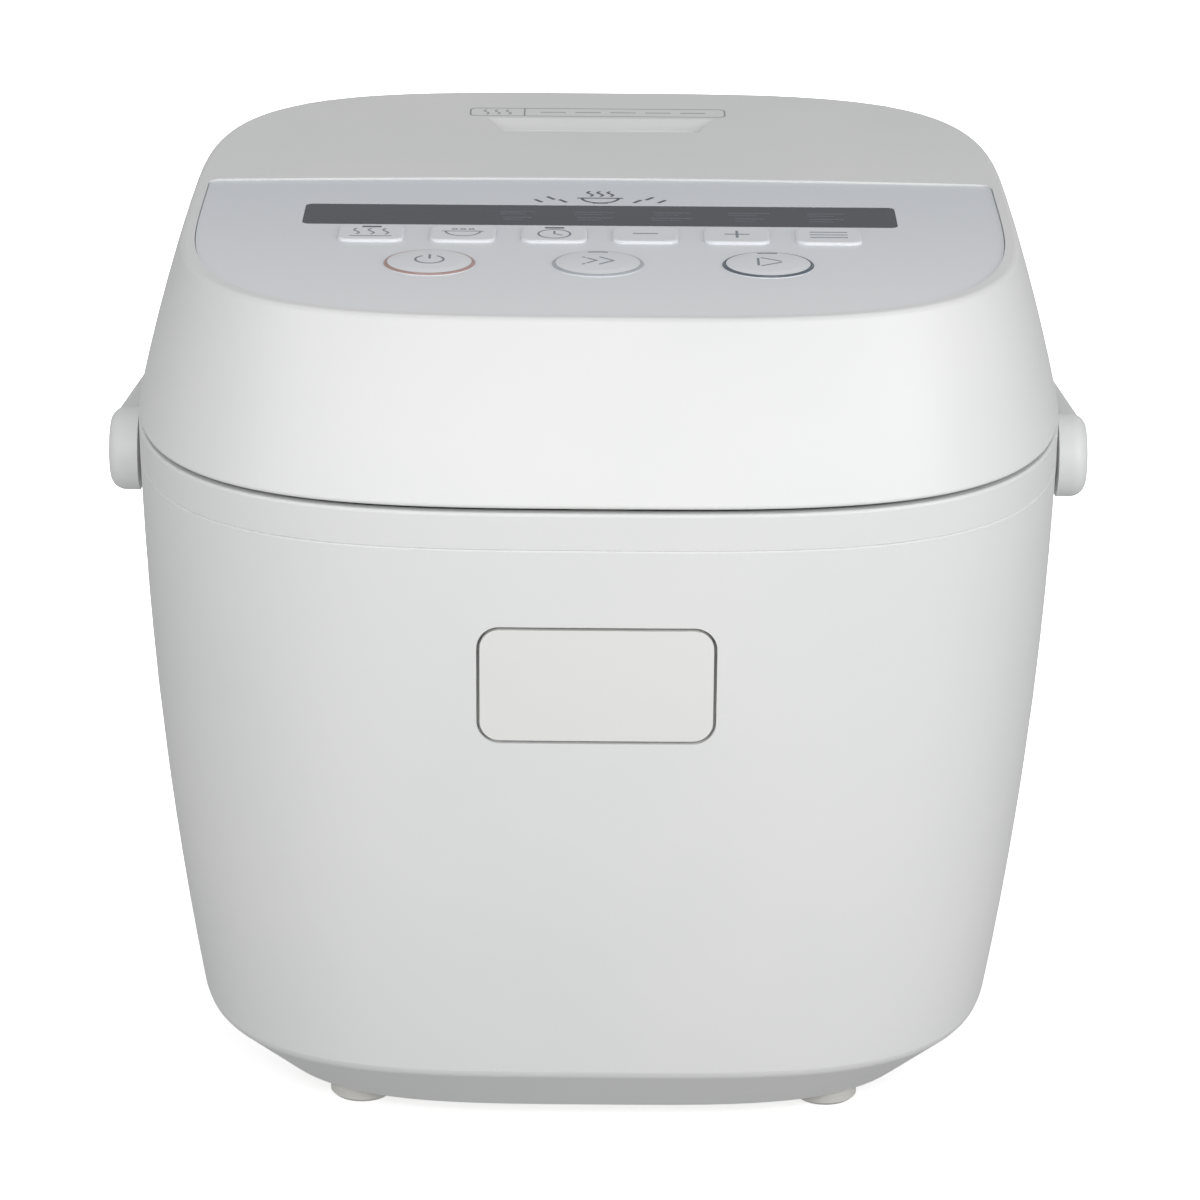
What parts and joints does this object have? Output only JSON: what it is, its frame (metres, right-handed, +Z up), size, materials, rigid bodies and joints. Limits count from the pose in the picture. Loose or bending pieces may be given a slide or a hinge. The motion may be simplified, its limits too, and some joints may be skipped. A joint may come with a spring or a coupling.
{
  "type": "rice cooker",
  "caption": "White electronic rice cooker with hinged lid, key panel and display on top, open button in front and folding carry handle.",
  "frame": {"origin": "centre of the bounding box of the closed cooker with its handle folded back, at the floor under the feet", "axes": "+Z up; -Y towards the user, where the open button and the key panel are; +X to the user's right"},
  "size_m": [0.2878, 0.3225, 0.2469],
  "materials": {
    "white_shell": "satin white moulded plastic",
    "grey_top": "satin light grey moulded plastic",
    "white_button": "smooth white moulded plastic",
    "base_grey": "light grey moulded plastic",
    "inner_plastic": "grey heat resistant plastic",
    "panel_film": "pale blue grey printed film",
    "key_plastic": "pale blue grey key caps",
    "window": "dark smoked display window",
    "lcd": "liquid crystal module",
    "board": "green circuit board laminate",
    "black_plastic": "black moulded plastic",
    "steel": "plated steel",
    "aluminium": "pressed or cast aluminium",
    "brass": "brass contacts",
    "pot_coating": "aluminium pot with dark non-stick coating",
    "silicone": "translucent grey silicone rubber",
    "foot_rubber": "pale soft rubber",
    "latch_plastic": "acetal plastic"
  },
  "bodies": {
    "cooker": {"outer_shell": "white_shell", "upper_frame": "white_shell", "base_cover": "base_grey", "feet": "foot_rubber", "base_screws": "steel", "frame_screws": "steel", "hinge_cover": "white_shell", "hinge_pin": "steel", "hinge_spring": "steel", "inner_pot": "pot_coating", "inner_case": "aluminium", "heating_plate": "aluminium", "heating_element": "steel", "plate_posts": "steel", "plate_screws": "steel", "side_heater": "aluminium", "thermal_fuse": "brass", "fuse_clip": "steel", "sensor_bracket": "steel", "sensor_spring": "steel", "power_board": "board", "relay": "black_plastic", "transformer": "steel", "ac_inlet": "black_plastic", "inlet_pins": "brass", "button_spring": "steel", "latch_pin": "steel", "latch_bracket": "steel", "handle_pivots": "latch_plastic"},
    "lid": {"lid_shell": "white_shell", "lid_liner": "inner_plastic", "lid_screws": "steel", "lid_heat_plate": "aluminium", "lid_heater": "silicone", "lid_sensor": "black_plastic", "inner_lid": "aluminium", "lid_gasket": "silicone", "steam_seal": "silicone", "steam_duct": "inner_plastic", "steam_vent": "inner_plastic", "lid_catch": "steel", "panel_overlay": "panel_film", "display_window": "window", "display_module": "lcd", "control_board": "board", "board_screws": "steel", "tact_switches": "black_plastic"},
    "handle": {"handle": "white_shell"},
    "button": {"open_button": "white_button"},
    "latch": {"latch_lever": "latch_plastic"},
    "sensor": {"sensor_cap": "aluminium"},
    "key_cancel": {"key_cancel": "key_plastic"},
    "key_quick": {"key_quick": "key_plastic"},
    "key_start": {"key_start": "key_plastic"},
    "key_keep_warm": {"key_keep_warm": "key_plastic"},
    "key_taste": {"key_taste": "key_plastic"},
    "key_timer": {"key_timer": "key_plastic"},
    "key_minus": {"key_minus": "key_plastic"},
    "key_plus": {"key_plus": "key_plastic"},
    "key_menu": {"key_menu": "key_plastic"}
  },
  "joints": [
    {"name": "lid_hinge", "type": "hinge", "parent": "cooker", "child": "lid", "pos_m": [0, 0.14325, 0.1995], "axis": [-1, 0, 0], "range_deg": [0, 90], "deforming": ["hinge_spring"]},
    {"name": "handle_hinge", "type": "hinge", "parent": "cooker", "child": "handle", "pos_m": [0, -0.03725, 0.173], "axis": [1, 0, 0], "range_deg": [0, 98.5]},
    {"name": "open_button_push", "type": "slide", "parent": "cooker", "child": "button", "axis": [0, 1, 0], "range_m": [0, 0.003], "stiffness_N_per_m": 500, "springref_m": -0.002, "deforming": ["button_spring"]},
    {"name": "latch_lever_turn", "type": "hinge", "parent": "cooker", "child": "latch", "pos_m": [0, -0.14825, 0.168], "axis": [1, 0, 0], "range_deg": [0, 8.6]},
    {"name": "sensor_plunge", "type": "slide", "parent": "cooker", "child": "sensor", "axis": [0, 0, -1], "range_m": [0, 0.003], "stiffness_N_per_m": 400, "springref_m": -0.003, "deforming": ["sensor_spring"]},
    {"name": "key_cancel_press", "type": "slide", "parent": "lid", "child": "key_cancel", "axis": [0, 0.0157, -0.9999], "range_m": [0, 0.0005], "stiffness_N_per_m": 1500, "springref_m": -0.0003},
    {"name": "key_quick_press", "type": "slide", "parent": "lid", "child": "key_quick", "axis": [0, 0.0157, -0.9999], "range_m": [0, 0.0005], "stiffness_N_per_m": 1500, "springref_m": -0.0003},
    {"name": "key_start_press", "type": "slide", "parent": "lid", "child": "key_start", "axis": [0, 0.0157, -0.9999], "range_m": [0, 0.0005], "stiffness_N_per_m": 1500, "springref_m": -0.0003},
    {"name": "key_keep_warm_press", "type": "slide", "parent": "lid", "child": "key_keep_warm", "axis": [0, 0.0157, -0.9999], "range_m": [0, 0.0005], "stiffness_N_per_m": 1500, "springref_m": -0.0003},
    {"name": "key_taste_press", "type": "slide", "parent": "lid", "child": "key_taste", "axis": [0, 0.0157, -0.9999], "range_m": [0, 0.0005], "stiffness_N_per_m": 1500, "springref_m": -0.0003},
    {"name": "key_timer_press", "type": "slide", "parent": "lid", "child": "key_timer", "axis": [0, 0.0157, -0.9999], "range_m": [0, 0.0005], "stiffness_N_per_m": 1500, "springref_m": -0.0003},
    {"name": "key_minus_press", "type": "slide", "parent": "lid", "child": "key_minus", "axis": [0, 0.0157, -0.9999], "range_m": [0, 0.0005], "stiffness_N_per_m": 1500, "springref_m": -0.0003},
    {"name": "key_plus_press", "type": "slide", "parent": "lid", "child": "key_plus", "axis": [0, 0.0157, -0.9999], "range_m": [0, 0.0005], "stiffness_N_per_m": 1500, "springref_m": -0.0003},
    {"name": "key_menu_press", "type": "slide", "parent": "lid", "child": "key_menu", "axis": [0, 0.0157, -0.9999], "range_m": [0, 0.0005], "stiffness_N_per_m": 1500, "springref_m": -0.0003}
  ],
  "couplings": [
    {"joint": "latch_lever_turn", "follows": "open_button_push", "rad_per_m": 49.958}
  ]
}
